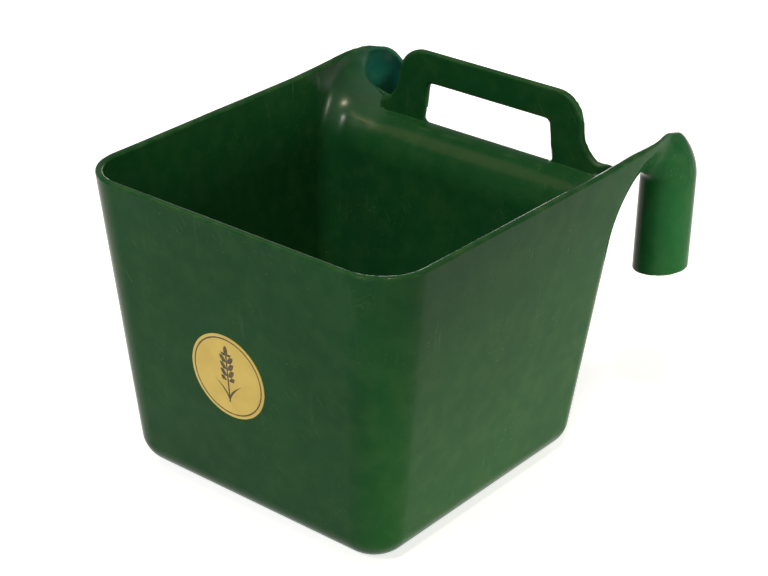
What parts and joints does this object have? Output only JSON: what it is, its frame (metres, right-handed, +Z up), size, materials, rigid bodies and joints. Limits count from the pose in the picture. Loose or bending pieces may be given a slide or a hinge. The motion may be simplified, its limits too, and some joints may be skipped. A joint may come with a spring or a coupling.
{
  "type": "hanging feed bucket",
  "caption": "Square tapered plastic feed bucket with hollow rear hooks that hang it over a door or rail, an upright slotted carry handle and a round front label.",
  "frame": {"origin": "centre of the base's underside, level with the ground it stands on", "axes": "+X to the right of someone facing the front wall, -Y out of the front wall, +Y to the rail and hooks, +Z up"},
  "size_m": [0.3474, 0.4146, 0.2945],
  "materials": {
    "green_plastic": "satin moulded plastic, dark green, lightly scuffed",
    "label_film": "printed film, pale yellow"
  },
  "bodies": {
    "root": {"floor_pan": "green_plastic", "front_wall": "green_plastic", "left_wall": "green_plastic", "right_wall": "green_plastic", "back_wall": "green_plastic", "rear_ledge": "green_plastic", "carry_handle": "green_plastic", "left_hook": "green_plastic", "right_hook": "green_plastic", "front_label": "label_film"}
  },
  "joints": []
}
